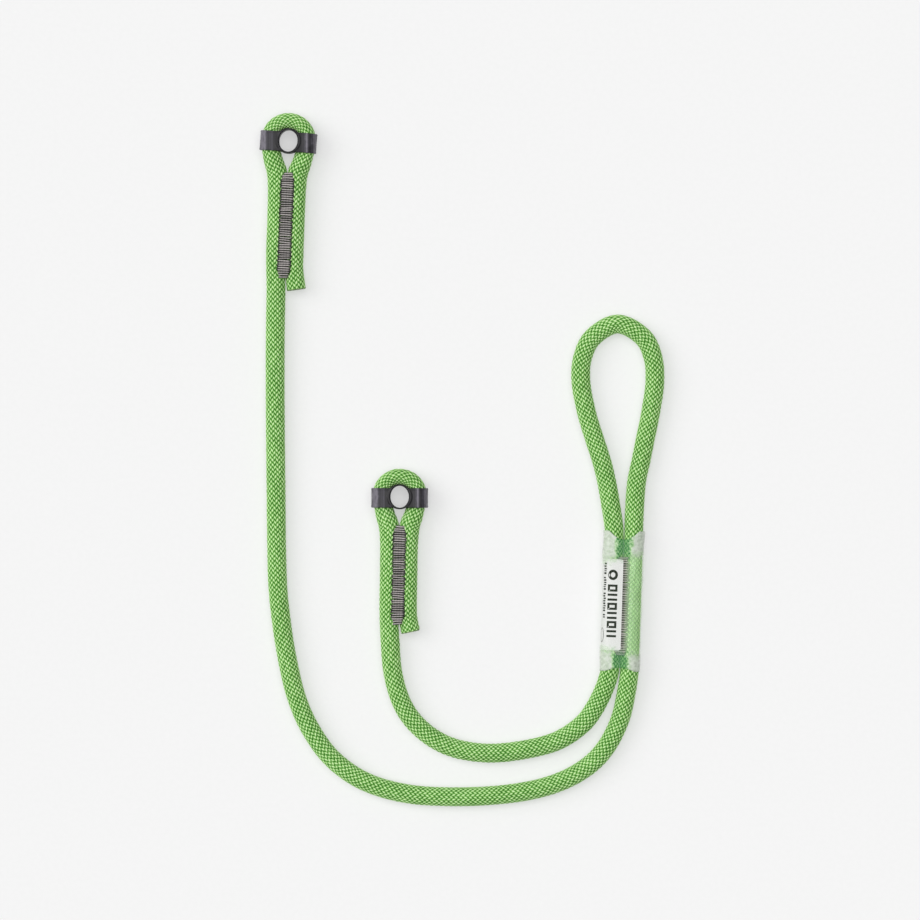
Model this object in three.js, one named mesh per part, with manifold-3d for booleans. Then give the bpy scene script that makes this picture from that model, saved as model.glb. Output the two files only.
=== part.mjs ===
// A double rope lanyard (a "cow's tail"): one length of sheathed rope sewn in the middle into a
// teardrop tether loop under a clear sleeve, and ending in two arms of unequal length. Each arm ends
// in a sewn eye that a moulded rubber retainer keeps round a connector.
// It lies flat on the plane z = 0. Millimetres, +Z up, +Y along the long arm, origin at the middle of
// the underside. The rope's flexing stretches are stood in for by ball-and-cup hinges between runs.

import * as THREE from 'three';
import { mergeVertices } from 'three/addons/utils/BufferGeometryUtils.js';
import Module from 'manifold-3d';

// ---------------------------------------------------------------- driving dimensions

const ROPE_RADIUS = 5.05;
const SHEATH_WALL = 1.0;
const GAP = 0.3; // between touching pieces
const SHEATH_SIDES = 12;
const CORE_SIDES = 8;
const LONGEST_STEP = 24; // between two rope sections
const SHARPEST_STEP = THREE.MathUtils.degToRad(17); // turn between two rope sections
const END_INSET = 8; // from the end of a run to the next rope section

// half sizes of the rope's section: on its own, squeezed round a retainer, and inside the sleeve
const FREE_SECTION = { halfWidth: ROPE_RADIUS, halfHeight: ROPE_RADIUS };
const EYE_SECTION = { halfWidth: 4.0, halfHeight: 5.4 };
const SLEEVED_SECTION = { halfWidth: 4.7, halfHeight: 4.85 };

const BALL_RADIUS = ROPE_RADIUS;
const CUP_RADIUS = ROPE_RADIUS / Math.cos(Math.PI / SHEATH_SIDES) + GAP;
const BALL_SIDES = 12;
const CUP_SIDES = 18; // finer, so that its flats stay clear of the ball's end as it turns
// how far from the end of its run a core stops, and the hollow that it lies in
const CORE_SETBACK = { ball: 2 + GAP, cup: CUP_RADIUS + GAP, cut: 0 };
const BORE_SETBACK = { ball: 2, cup: -1, cut: -1 };

// the eyes, and the rubber retainer that lines each one
const EYE_LEVEL = 7.5; // height of the eye's and retainer's middle
const CROWN_RADIUS = 10.3; // rope centreline round the retainer
const HOLE_RADIUS = 5;
const GROMMET_RADIUS = CROWN_RADIUS - EYE_SECTION.halfWidth - 1.2 * GAP;
const BEAD_RADIUS = 6.7;
const BEAD_HEIGHT = 1.1;
const BAND = { halfLength: 15.3, halfHeight: 6.9, width: 10.7, wall: 0.75, cornerRadius: 5.6 };

// the two legs of a sewn eye, from the retainer's centre down to the rope's cut end
const SEAM = { width: 7.2, halfHeight: 5.75, topBelowRing: 17.2, top: 7.4, foot: 5.9 };
const LONG_EYE = {
  centre: [-93.3, 171.6],
  lean: THREE.MathUtils.degToRad(1.9),
  bandTilt: THREE.MathUtils.degToRad(-4.5),
  seamLength: 57,
  tailBelowRing: 79.7,
};
const SHORT_EYE = {
  centre: [-33.6, -19.5],
  lean: THREE.MathUtils.degToRad(1.5),
  bandTilt: THREE.MathUtils.degToRad(-1),
  seamLength: 54,
  tailBelowRing: 72.6,
};

// the sleeve over the middle seam, with the seam and the label inside it
const SLEEVE = {
  head: [86.9, -38.3],
  foot: [84.5, -113.6],
  halfWidth: 11.2,
  halfHeight: 6.6,
  wall: 0.6,
  headNotch: { depth: 4.5, halfWidth: 8 },
  footNotch: { depth: 1.7, halfWidth: 8 },
};
const LEG_OFFSET = 5.35; // of each rope from the sleeve's axis
const CENTRE_SEAM = { length: 53, width: 7.2, halfHeight: 4.9, headInset: 10.5 };
const LABEL = { length: 48.5, reach: 0.7, headInset: 12.5, thickness: 0.25, wrap: 28, corner: 1.2 };

// ---------------------------------------------------------------- the rope's route

// Seen from the ring of a sewn eye, x to the right and y along the eye, for the right-hand leg.
const EYE_LEG = [
  [9.2, -6, 7.5],
  [7.1, -12, 7.5],
  [5.5, -18, 7.38],
  [4.75, -27, 7.14],
  [4.65, -45, 6.67],
  [4.65, -62, 6.22],
];
const EYE_TAIL_SPLAY = [5.3, 6.7]; // the tail's offset where the seam ends, and at the cut end

// Free stretches of the rope, from the long eye's foot to the short eye's foot.
const LONG_ARM_HEAD = [[-100.4, 91.2, 5.65]];
const LONG_EYE_PIVOT = [-100.8, 66, EYE_SECTION.halfHeight];
const LONG_ARM_UPPER = [
  [-100.7, 25, ROPE_RADIUS],
  [-100.1, -15, ROPE_RADIUS],
];
const LONG_BEND_PIVOT = [-99.8, -45, ROPE_RADIUS];
const LONG_ARM_LOWER = [
  [-99, -70, ROPE_RADIUS],
  [-96.6, -91.5, ROPE_RADIUS],
  [-93.4, -110.3, ROPE_RADIUS],
  [-88.6, -129.2, ROPE_RADIUS],
  [-81.3, -145.3, ROPE_RADIUS],
  [-70, -160.6, ROPE_RADIUS],
  [-53.9, -172.2, ROPE_RADIUS],
  [-32.4, -179.1, ROPE_RADIUS],
  [-5.5, -181, ROPE_RADIUS],
  [26.7, -179.1, ROPE_RADIUS],
  [48.2, -174.3, ROPE_RADIUS],
  [64.4, -166.2, ROPE_RADIUS],
  [75.4, -156, ROPE_RADIUS],
];
const LONG_ARM_PIVOT = [84, -139.9, ROPE_RADIUS];
const LONG_ARM_ROOT = [[88, -123.8, 5.9]];
const TETHER_RIGHT_ROOT = [[92.7, -24, 5.8]];
const TETHER_RIGHT_PIVOT = [93.9, -10.9, ROPE_RADIUS];
const TETHER_LOOP = [
  [96.2, 0, ROPE_RADIUS],
  [98.6, 12, ROPE_RADIUS],
  [101.2, 25, ROPE_RADIUS],
  [103.5, 42, ROPE_RADIUS],
  [102.6, 54.5, ROPE_RADIUS],
  [97.2, 65, ROPE_RADIUS],
  [83.4, 72.9, ROPE_RADIUS],
  [70, 65, ROPE_RADIUS],
  [64.6, 54.5, ROPE_RADIUS],
  [63.7, 42, ROPE_RADIUS],
  [66.6, 25, ROPE_RADIUS],
  [70.5, 12, ROPE_RADIUS],
  [74.5, 0, ROPE_RADIUS],
];
const TETHER_LEFT_PIVOT = [77.4, -10.9, ROPE_RADIUS];
const TETHER_LEFT_ROOT = [[79.7, -24, 5.8]];
const SHORT_ARM_ROOT = [[76.6, -121.5, 5.8]];
const SHORT_ARM_PIVOT = [71, -132.5, ROPE_RADIUS];
const SHORT_ARM = [
  [64.2, -141.6, ROPE_RADIUS],
  [50.8, -150.6, ROPE_RADIUS],
  [32.1, -155.8, ROPE_RADIUS],
  [13, -157.4, ROPE_RADIUS],
  [-5.5, -154.6, ROPE_RADIUS],
  [-19.2, -147.2, ROPE_RADIUS],
  [-30.4, -134.8, ROPE_RADIUS],
];
const SHORT_EYE_PIVOT = [-36.7, -117.5, EYE_SECTION.halfHeight];
const SHORT_ARM_HEAD = [[-38.7, -99, 5.65]];

function onEye(eye, x, y, z) {
  const across = x * Math.cos(eye.lean) + y * Math.sin(eye.lean);
  const along = y * Math.cos(eye.lean) - x * Math.sin(eye.lean);
  return [eye.centre[0] + across, eye.centre[1] + along, z];
}

// From the cut end up the right leg, round the crown and down the left leg.
function eyeRoute(eye) {
  const seamFoot = SEAM.topBelowRing + eye.seamLength;
  const [splayStart, splayEnd] = EYE_TAIL_SPLAY;
  const tail = [[splayEnd, -eye.tailBelowRing, SEAM.foot], [splayStart, 4 - seamFoot, SEAM.foot]];
  const legUp = [...EYE_LEG].reverse();
  const crown = [0, 30, 60, 90, 120, 150, 180].map((degrees) => {
    const angle = THREE.MathUtils.degToRad(degrees);
    return [CROWN_RADIUS * Math.cos(angle), CROWN_RADIUS * Math.sin(angle), EYE_LEVEL];
  });
  const legDown = EYE_LEG.map(([x, y, z]) => [-x, y, z]);
  return [...tail, ...legUp, ...crown, ...legDown].map(([x, y, z]) => onEye(eye, x, y, z));
}

// A point beside the sleeve's axis, at a distance below its head.
const sleeveAxis = new THREE.Vector2(...SLEEVE.head).sub(new THREE.Vector2(...SLEEVE.foot));
const SLEEVE_LENGTH = sleeveAxis.length();
sleeveAxis.normalize();

function besideSleeve(offset, belowHead) {
  const x = SLEEVE.head[0] - sleeveAxis.x * belowHead + sleeveAxis.y * offset;
  const y = SLEEVE.head[1] - sleeveAxis.y * belowHead - sleeveAxis.x * offset;
  return [x, y, SLEEVE.halfHeight];
}

const sleeved = [0, 0.5, 1].map((share) => share * SLEEVE_LENGTH);
const routeParts = [
  ['longEye', eyeRoute(LONG_EYE)],
  ['longArmHead', LONG_ARM_HEAD],
  ['longEyePivot', [LONG_EYE_PIVOT]],
  ['longArmUpper', LONG_ARM_UPPER],
  ['longBendPivot', [LONG_BEND_PIVOT]],
  ['longArmLower', LONG_ARM_LOWER],
  ['longArmPivot', [LONG_ARM_PIVOT]],
  ['longArmRoot', LONG_ARM_ROOT],
  ['sleeveRight', sleeved.map((depth) => besideSleeve(LEG_OFFSET, depth)).reverse()],
  ['tetherRightRoot', TETHER_RIGHT_ROOT],
  ['tetherRightPivot', [TETHER_RIGHT_PIVOT]],
  ['tetherLoop', TETHER_LOOP],
  ['tetherLeftPivot', [TETHER_LEFT_PIVOT]],
  ['tetherLeftRoot', TETHER_LEFT_ROOT],
  ['sleeveLeft', sleeved.map((depth) => besideSleeve(-LEG_OFFSET, depth))],
  ['shortArmRoot', SHORT_ARM_ROOT],
  ['shortArmPivot', [SHORT_ARM_PIVOT]],
  ['shortArm', SHORT_ARM],
  ['shortEyePivot', [SHORT_EYE_PIVOT]],
  ['shortArmHead', SHORT_ARM_HEAD],
  ['shortEye', eyeRoute(SHORT_EYE).reverse()],
];

const routePoints = [];
const routeIndex = {}; // the first point of each part
for (const [name, points] of routeParts) {
  routeIndex[name] = routePoints.length;
  routePoints.push(...points.map((p) => new THREE.Vector3(...p)));
}
const rope = new THREE.CatmullRomCurve3(routePoints, false, 'centripetal');
const DIVISIONS = 60; // of each route point's stretch, for measuring
rope.arcLengthDivisions = (routePoints.length - 1) * DIVISIONS;
const travelled = rope.getLengths();
const ropeLength = rope.getLength();

function distanceTo(part) {
  return travelled[routeIndex[part] * DIVISIONS];
}

const pivotNames = Object.keys(routeIndex).filter((name) => name.endsWith('Pivot'));
const endDistances = [0, ...pivotNames.map(distanceTo), ropeLength];

// Where the rope's sections stand, as distances along it: closer together where it bends, and one just
// inside every end of a run, so that a sheath and its core turn with the same sections.
function placeSections() {
  const sections = [];
  let last = 0;
  let turned = 0;
  let heading = rope.getTangentAt(0);
  for (let distance = 1; distance < ropeLength; distance += 1) {
    const tangent = rope.getTangentAt(distance / ropeLength);
    turned += tangent.angleTo(heading);
    heading = tangent;
    const toEnd = Math.min(...endDistances.map((end) => Math.abs(end - distance)));
    const due = distance - last > LONGEST_STEP || turned > SHARPEST_STEP;
    if (Math.abs(toEnd - END_INSET) < 0.5 || (due && toEnd > END_INSET)) {
      sections.push(distance);
      last = distance;
      turned = 0;
    }
  }
  return sections;
}

const ropeSections = placeSections();

// One run of the rope, between two distances along it. getPointAt and getTangentAt go from section to
// section, so a run extruded in as many steps has its rings there.
class RopeRun extends THREE.Curve {
  constructor(start, end) {
    super();
    this.start = start;
    this.end = end;
    const inside = ropeSections.filter((d) => d > start + 1 && d < end - 1);
    this.sections = [start, ...inside, end];
  }

  // A point at a distance along the rope. Past the rope's own ends it goes straight on.
  pointAtDistance(distance, target = new THREE.Vector3()) {
    const onRope = THREE.MathUtils.clamp(distance, 0, ropeLength);
    rope.getPointAt(onRope / ropeLength, target);
    if (distance === onRope) return target;
    return target.addScaledVector(rope.getTangentAt(onRope / ropeLength), distance - onRope);
  }

  distanceAt(u) {
    const place = u * (this.sections.length - 1);
    const before = Math.min(Math.floor(place), this.sections.length - 2);
    return THREE.MathUtils.lerp(this.sections[before], this.sections[before + 1], place - before);
  }

  getPoint(t, target) {
    return this.pointAtDistance(THREE.MathUtils.lerp(this.start, this.end, t), target);
  }

  getPointAt(u, target) {
    return this.pointAtDistance(this.distanceAt(u), target);
  }

  getTangentAt(u, target = new THREE.Vector3()) {
    const onRope = THREE.MathUtils.clamp(this.distanceAt(u) / ropeLength, 0, 1);
    return rope.getTangentAt(onRope, target);
  }
}

// ---------------------------------------------------------------- solids

const manifold = await Module();
manifold.setup();

function toSolid(geometry) {
  const plain = geometry.clone();
  plain.deleteAttribute('normal');
  plain.deleteAttribute('uv');
  const welded = mergeVertices(plain, 1e-4);
  return new manifold.Manifold(new manifold.Mesh({
    numProp: 3,
    vertProperties: new Float32Array(welded.attributes.position.array),
    triVerts: new Uint32Array(welded.index.array),
  }));
}

function toGeometry(solid) {
  const mesh = solid.getMesh();
  const geometry = new THREE.BufferGeometry();
  geometry.setAttribute('position', new THREE.BufferAttribute(mesh.vertProperties, 3));
  geometry.setIndex(new THREE.BufferAttribute(mesh.triVerts, 1));
  geometry.computeVertexNormals();
  return geometry;
}

// An oval section with flats above, below and at the sides. Its x lies across the plane of the rope.
function ropeSection(section, sides, inset = 0) {
  const shape = new THREE.Shape();
  const reach = 1 / Math.cos(Math.PI / sides);
  for (let i = 0; i < sides; i += 1) {
    const angle = (2 * Math.PI * (i + 0.5)) / sides;
    const x = (section.halfHeight - inset) * reach * Math.cos(angle);
    const y = (section.halfWidth - inset) * reach * Math.sin(angle);
    if (i === 0) shape.moveTo(x, y);
    else shape.lineTo(x, y);
  }
  shape.closePath();
  return shape;
}

function sweep(shape, run) {
  return new THREE.ExtrudeGeometry(shape, {
    steps: run.sections.length - 1,
    extrudePath: run,
    bevelEnabled: false,
  });
}

function ball(radius, sides, { x, y, z }) {
  return new THREE.SphereGeometry(radius, sides, (2 * sides) / 3).translate(x, y, z);
}

function cutBack({ start, end, ends }, setback) {
  return new RopeRun(start + setback[ends[0]], end - setback[ends[1]]);
}

// The woven sheath of one run, hollow for its core, with a ball or a cup at each hinge it meets.
function sheath(run) {
  const whole = new RopeRun(run.start, run.end);
  const points = [whole.getPoint(0), whole.getPoint(1)];
  const bore = sweep(ropeSection(run.section, CORE_SIDES, SHEATH_WALL), cutBack(run, BORE_SETBACK));
  let solid = toSolid(sweep(ropeSection(run.section, SHEATH_SIDES), whole));
  run.ends.forEach((end, i) => {
    if (end === 'ball') solid = solid.add(toSolid(ball(BALL_RADIUS, BALL_SIDES, points[i])));
  });
  solid = solid.subtract(toSolid(bore));
  run.ends.forEach((end, i) => {
    if (end === 'cup') solid = solid.subtract(toSolid(ball(CUP_RADIUS, CUP_SIDES, points[i])));
  });
  return toGeometry(solid);
}

// The bundle of twisted strands inside a sheath, as one rod.
function core(run) {
  return sweep(ropeSection(run.section, CORE_SIDES, SHEATH_WALL + GAP), cutBack(run, CORE_SETBACK));
}

function roundedRectangle(halfWidth, halfHeight, radius, Outline = THREE.Shape) {
  const shape = new Outline();
  const x = halfWidth - radius;
  const y = halfHeight - radius;
  shape.absarc(x, y, radius, 0, Math.PI / 2, false);
  shape.absarc(-x, y, radius, Math.PI / 2, Math.PI, false);
  shape.absarc(-x, -y, radius, Math.PI, 1.5 * Math.PI, false);
  shape.absarc(x, -y, radius, 1.5 * Math.PI, 2 * Math.PI, false);
  shape.closePath();
  return shape;
}

function extrude(shape, depth, curveSegments = 5) {
  return new THREE.ExtrudeGeometry(shape, { depth, steps: 1, bevelEnabled: false, curveSegments });
}

// An upright disc or tube, centred on z = 0.
function disc(radius, height, sides = 32) {
  return new THREE.CylinderGeometry(radius, radius, height, sides).rotateX(Math.PI / 2);
}

// The rubber piece that lines an eye and straps round both legs: a grommet with a bead at each rim,
// and a flat band. One moulding.
function retainer(eye) {
  const { halfLength, halfHeight, width, wall, cornerRadius } = BAND;
  const section = roundedRectangle(halfLength, halfHeight, cornerRadius);
  section.holes.push(roundedRectangle(
    halfLength - wall,
    EYE_SECTION.halfHeight / Math.cos(Math.PI / SHEATH_SIDES) + GAP,
    cornerRadius - wall,
    THREE.Path,
  ));
  const band = extrude(section, width).rotateX(Math.PI / 2).translate(0, width / 2, 0);
  let solid = toSolid(band).add(toSolid(disc(GROMMET_RADIUS, 2 * EYE_LEVEL)));
  for (const side of [-1, 1]) {
    const middle = side * (EYE_LEVEL - BEAD_HEIGHT / 2);
    solid = solid.add(toSolid(disc(BEAD_RADIUS, BEAD_HEIGHT).translate(0, 0, middle)));
  }
  solid = solid.subtract(toSolid(disc(HOLE_RADIUS, 4 * EYE_LEVEL)));
  return toGeometry(solid).rotateZ(eye.bandTilt).translate(...eye.centre, EYE_LEVEL);
}

// The thread that sews two legs together: it fills the valley above and below them and the slit
// between them, clear of both legs by the gap.
function seam(legs, block) {
  let solid = toSolid(block);
  for (const { start, end, section } of legs) {
    const clearance = ropeSection(section, SHEATH_SIDES, -GAP);
    solid = solid.subtract(toSolid(sweep(clearance, new RopeRun(start, end))));
  }
  return toGeometry(solid);
}

function eyeSeam(eye, run) {
  const drop = SEAM.top - SEAM.foot;
  const block = new THREE.BoxGeometry(SEAM.width, eye.seamLength, 2 * SEAM.halfHeight);
  block.rotateX(Math.atan2(drop, eye.seamLength)).rotateZ(-eye.lean);
  const middle = SEAM.topBelowRing + eye.seamLength / 2;
  block.translate(...onEye(eye, 0, -middle, (SEAM.top + SEAM.foot) / 2));
  return seam([run], block);
}

// Turns a shape made upright about the origin into the sleeve's line, at a distance below its head.
function alongSleeve(geometry, belowHead) {
  const lean = Math.atan2(sleeveAxis.x, sleeveAxis.y);
  return geometry.rotateZ(-lean).translate(...besideSleeve(0, belowHead));
}

function centreSeam(legs) {
  const { length, width, halfHeight, headInset } = CENTRE_SEAM;
  const block = alongSleeve(new THREE.BoxGeometry(width, length, 2 * halfHeight), headInset + length / 2);
  return seam(legs, block);
}

// A cutter that leaves an arched dip in the middle of the sleeve's edge.
function notchCutter({ depth, halfWidth }, side) {
  const radius = (halfWidth ** 2 + depth ** 2) / (2 * depth);
  const away = SLEEVE_LENGTH / 2 - depth + radius;
  return disc(radius, 4 * SLEEVE.halfHeight, 48).translate(0, side * away, 0);
}

function sleeve() {
  const { halfWidth, halfHeight, wall, headNotch, footNotch } = SLEEVE;
  const section = roundedRectangle(halfWidth, halfHeight, halfHeight - 0.6);
  const inner = halfHeight - wall;
  section.holes.push(roundedRectangle(halfWidth - wall, inner, inner - 0.6, THREE.Path));
  const tube = extrude(section, SLEEVE_LENGTH, 6).rotateX(Math.PI / 2).translate(0, SLEEVE_LENGTH / 2, 0);
  const solid = toSolid(tube)
    .subtract(toSolid(notchCutter(headNotch, 1)))
    .subtract(toSolid(notchCutter(footNotch, -1)));
  return alongSleeve(toGeometry(solid), SLEEVE_LENGTH / 2);
}

// A thin label that lies on the left rope, from its outer shoulder to just past the seam's middle.
function label() {
  const { length, reach, headInset, thickness, wrap, corner } = LABEL;
  const inner = SLEEVED_SECTION.halfHeight / Math.cos(Math.PI / SHEATH_SIDES) + GAP / 2;
  const outer = inner + thickness;
  const top = Math.PI / 2;
  const shoulder = top + THREE.MathUtils.degToRad(wrap);
  const section = new THREE.Shape();
  section.moveTo(reach, outer);
  section.absarc(-LEG_OFFSET, 0, outer, top, shoulder, false);
  section.absarc(-LEG_OFFSET, 0, inner, shoulder, top, true);
  section.lineTo(reach, inner);
  section.closePath();
  const strip = extrude(section, length).rotateX(Math.PI / 2).translate(0, length / 2, 0);
  const outline = roundedRectangle(4 * LEG_OFFSET, length / 2, corner);
  const trim = extrude(outline, 4 * outer).translate(reach - 4 * LEG_OFFSET, 0, -2 * outer);
  const solid = toSolid(strip).intersect(toSolid(trim));
  return alongSleeve(toGeometry(solid), headInset + length / 2);
}

// ---------------------------------------------------------------- materials

function finish(color, roughness, extra = {}) {
  return new THREE.MeshStandardMaterial({ color, roughness, metalness: 0, ...extra });
}

const sheathFinish = finish(0x7ead64, 0.85);
const coreFinish = finish(0xe8ece0, 0.9);
const threadFinish = finish(0x686663, 0.8);
const rubberFinish = finish(0x333334, 0.55);
const sleeveFinish = finish(0xe6efe2, 0.25, { transparent: true, opacity: 0.35 });
const labelFinish = finish(0xf2f2f0, 0.6);

// ---------------------------------------------------------------- the assembly

const lanyard = new THREE.Group();

function place(name, geometry, material) {
  const mesh = new THREE.Mesh(geometry, material);
  mesh.name = name;
  lanyard.add(mesh);
}

// The rope's runs, from the long eye's cut end to the short eye's. A run has a ball where it hangs on
// the next run towards the sleeve, and a cup where another run hangs on it.
const RUNS = [
  ['long_eye', EYE_SECTION, ['cut', 'ball'], 'longEyePivot'],
  ['long_arm_upper', FREE_SECTION, ['cup', 'ball'], 'longBendPivot'],
  ['long_arm_lower', FREE_SECTION, ['cup', 'ball'], 'longArmPivot'],
  ['centre_right', SLEEVED_SECTION, ['cup', 'ball'], 'tetherRightPivot'],
  ['tether_loop', FREE_SECTION, ['cup', 'cup'], 'tetherLeftPivot'],
  ['centre_left', SLEEVED_SECTION, ['ball', 'cup'], 'shortArmPivot'],
  ['short_arm', FREE_SECTION, ['ball', 'cup'], 'shortEyePivot'],
  ['short_eye', EYE_SECTION, ['ball', 'cut'], null],
];

const runs = {};
let runStart = 0;
for (const [name, section, ends, endPivot] of RUNS) {
  const end = endPivot ? distanceTo(endPivot) : ropeLength;
  runs[name] = { start: runStart, end, section, ends };
  runStart = end;
}

for (const [name, run] of Object.entries(runs)) {
  place(`${name}_sheath`, sheath(run), sheathFinish);
  place(`${name}_core`, core(run), coreFinish);
}

place('long_eye_stitching', eyeSeam(LONG_EYE, runs.long_eye), threadFinish);
place('short_eye_stitching', eyeSeam(SHORT_EYE, runs.short_eye), threadFinish);
place('centre_stitching', centreSeam([runs.centre_left, runs.centre_right]), threadFinish);
place('long_retainer', retainer(LONG_EYE), rubberFinish);
place('short_retainer', retainer(SHORT_EYE), rubberFinish);
place('clear_sleeve', sleeve(), sleeveFinish);
place('label', label(), labelFinish);

export default lanyard;
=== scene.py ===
"""The looks of a double rope lanyard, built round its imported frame.

One sheathed rope runs from the long arm's sewn eye, round the tether loop and back to the short
arm's sewn eye. Metres, +Z up, +Y along the long arm, the rope lying on the plane z = 0.
"""

import math

import bpy
import numpy as np
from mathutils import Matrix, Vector


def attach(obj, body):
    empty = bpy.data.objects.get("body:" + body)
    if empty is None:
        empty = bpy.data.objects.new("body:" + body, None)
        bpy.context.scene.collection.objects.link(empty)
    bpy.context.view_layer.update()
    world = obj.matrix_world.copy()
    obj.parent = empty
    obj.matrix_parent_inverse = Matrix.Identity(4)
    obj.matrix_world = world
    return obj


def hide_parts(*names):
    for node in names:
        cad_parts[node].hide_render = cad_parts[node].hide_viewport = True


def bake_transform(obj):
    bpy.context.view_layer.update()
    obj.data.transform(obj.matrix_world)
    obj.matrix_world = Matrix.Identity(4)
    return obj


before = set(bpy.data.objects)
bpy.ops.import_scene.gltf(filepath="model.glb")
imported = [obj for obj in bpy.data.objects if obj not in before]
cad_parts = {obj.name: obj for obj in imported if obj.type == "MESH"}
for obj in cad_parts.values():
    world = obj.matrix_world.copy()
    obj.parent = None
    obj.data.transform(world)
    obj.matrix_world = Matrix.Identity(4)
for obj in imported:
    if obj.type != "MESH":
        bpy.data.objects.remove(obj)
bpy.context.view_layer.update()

MM = 0.001

# ---------- driving dimensions

VIEW_WIDTH = 0.4945  # what the camera sees across, at the rope's height
VIEW_CENTRE = (-0.0012, -0.0002)
LENS = 300.0
SENSOR = 36.0

ROPE_RADIUS = 0.00505
STRANDS = 24  # in each direction round the sheath
PICK = 0.00258  # along the rope, from one strand to the next
STEPS_PER_STRAND = 4  # mesh points across one strand
GROOVE = 0.42 * MM  # depth between two strands
LIFT = 0.28 * MM  # how far a strand rises and dips as it passes over and under
CREST = 0.12 * MM  # how far the highest strands stand outside ROPE_RADIUS
STRAND_DOME = 2.4  # the power that rounds a strand's back: the higher, the flatter
SHEATH_TURN = 2.6  # radians round the rope for each metre along it
SHEATH_SWAY = (1.1, 9.0, 0.4)  # added to that: radians to each side, waves' pace and start

# a fused cut end's rings: how far shrunk towards the middle, and how far they stand out, in mm
FUSED_RINGS = [(0.985, 0.30), (0.94, 0.52), (0.85, 0.55), (0.6, 0.42), (0.3, 0.36)]
FUSED_MIDDLE = 0.34 * MM
CUT_SLANT_REACH = 9 * MM  # how far from a cut end its slant is felt

# half sizes of the rope's section: to the left of its route, to the right, and upwards. Left is the
# inside of the long eye; the short eye's are swapped, because the route takes it the other way.
FREE = (5.05 * MM, 5.05 * MM, 5.05 * MM)
CROWN = (4.15 * MM, 4.30 * MM, 5.40 * MM)
LEAVING = (4.75 * MM, 4.90 * MM, 5.30 * MM)
SPREAD = (5.00 * MM, 5.35 * MM, 5.15 * MM)
GATHERED = (5.15 * MM, 5.80 * MM, 5.05 * MM)
SEWN = (4.70 * MM, 5.30 * MM, 5.10 * MM)
SLEEVE_MOUTH = (5.15 * MM, 4.95 * MM, 4.95 * MM)
SLEEVED = (5.25 * MM, 4.95 * MM, 4.95 * MM)

EYE_LEVEL = 0.0075
CROWN_RADIUS = 0.0103
RING_DROP = 0.00045  # from the crown's own centre down to the ring's
BAND_DROP = 0.0006  # and from there to the middle of the band
LONG_EYE = {
    "centre": (-0.0933, 0.1716),
    "lean": math.radians(1.9),
    "band_tilt": math.radians(-4.1),
    "seam_head": 0.0174,
    "seam": 0.0568,
    "tail": 0.0797,
    "bars": 46,
    "slant": -0.00015,
}
SHORT_EYE = {
    "centre": (-0.0336, -0.0195),
    "lean": math.radians(0.8),
    "band_tilt": math.radians(-0.2),
    "seam_head": 0.0159,
    "seam": 0.0532,
    "tail": 0.0726,
    "bars": 43,
    "slant": -0.0001,
}

SLEEVE_HEAD = np.array((0.0869, -0.0383))
SLEEVE_FOOT = np.array((0.0845, -0.1136))
SLEEVE_LEVEL = 0.0066
LEG_OFFSET = 0.00535
SLEEVE_MOUTH_DEPTH = 0.006
SLEEVE_LENGTH = float(np.linalg.norm(SLEEVE_HEAD - SLEEVE_FOOT))
SLEEVE_HALF_WIDTH = (11.25 * MM, 10.95 * MM)  # at its head and foot
SLEEVE_HALF_HEIGHT = 6.35 * MM
SLEEVE_WALL = 0.45 * MM
SLEEVE_SQUARENESS = 2.2  # the higher, the more of the film's width lies near its sides
SLEEVE_ROUNDNESS = 0.82  # the power that rounds its height: the lower, the flatter its top
VALLEY = (0.55 * MM, 2.6 * MM)  # how far it sags between the legs, and over what half width
NOTCH = (4.5 * MM, 1.7 * MM)  # how far the ends dip in the middle, at its head and foot
NOTCH_HALF_WIDTH = 8 * MM
RIPPLE = 0.035 * MM
SLEEVE_ROWS = 64
SLEEVE_COLUMNS = 96

# the milky ends of the sleeve, in mm
FROST_REACH = (15.5, 11.5)  # how far they reach in from its head and from its foot
FROST_SLANT = 0.15  # how much less, for each mm to the right
FROST_INNER = 4.2  # how far from the sleeve's middle they begin, at its ends
FROST_TAPER = 0.03  # how much nearer they come further in
HAZE = (0.5, 5.0)  # mm right of the sleeve's middle, where the film begins to haze and is haziest
HAZE_EDGE = (8.0, 10.6)  # and where it clears again towards the side

# the seams' bars of thread
BAR_HALF_WIDTH = 3.75 * MM
BAR_THICKNESS = (0.60 * MM, 0.48 * MM)
BAR_POINTS = 15
BAR_RIDE = 0.16 * MM  # how far a bar's middle line stands above the legs
BAR_DIVE = 0.95 * MM  # how far its ends sink into them
BAR_TURN = 9  # the power of that dive: the higher, the nearer the ends it begins
BRIDGE = 0.93  # a bar's height between two legs, as a share of the legs' own
# painted shade on each bar's ends, where they sink between the legs' strands:
THREAD_SHADE_START = 2.3  # mm from a bar's middle, where it begins to sink between the legs' strands
THREAD_SHADE_DARKEST = 3.8  # and where it is dark
SEAM_LEVELS = (0.0074, 0.0061)  # the legs' height at an eye seam's head and foot
SEAM_SHIFT = (0.45 * MM, -0.3 * MM)  # how far right of the eye's middle it starts and ends
SEWN_LEG_OFFSET = 4.68 * MM  # from the eye's middle to the middle of each leg
CENTRE_SEAM = (42, 53 * MM, 4.2 * MM)  # bars, length and half width
CENTRE_SEAM_HEAD = 13.8 * MM  # below the sleeve's head
CENTRE_SEAM_DEPTH = 0.25 * MM  # how much lower its bars lie than on free legs

# a retainer: a band round both legs, and a ring that lines the eye
BAND_HALF_LENGTH = 15.2 * MM
BAND_HALF_HEIGHT = 6.75 * MM
BAND_WIDTH = 10.7 * MM
BAND_WALL = 0.95 * MM
BAND_CORNER = 5.5 * MM
RIM = (0.9 * MM, 0.12 * MM)  # the band's thicker edges: how wide, and how proud
HOLE = np.array((4.95, 5.9)) * MM  # half sizes of the hole, across and along the eye
RING_RIM = np.array((7.0, 6.75)) * MM  # the same of the ring's flared rims
RING_HALF_HEIGHT = 7.15 * MM
RING_SIDES = 72
VOXEL = 0.26 * MM

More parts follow.
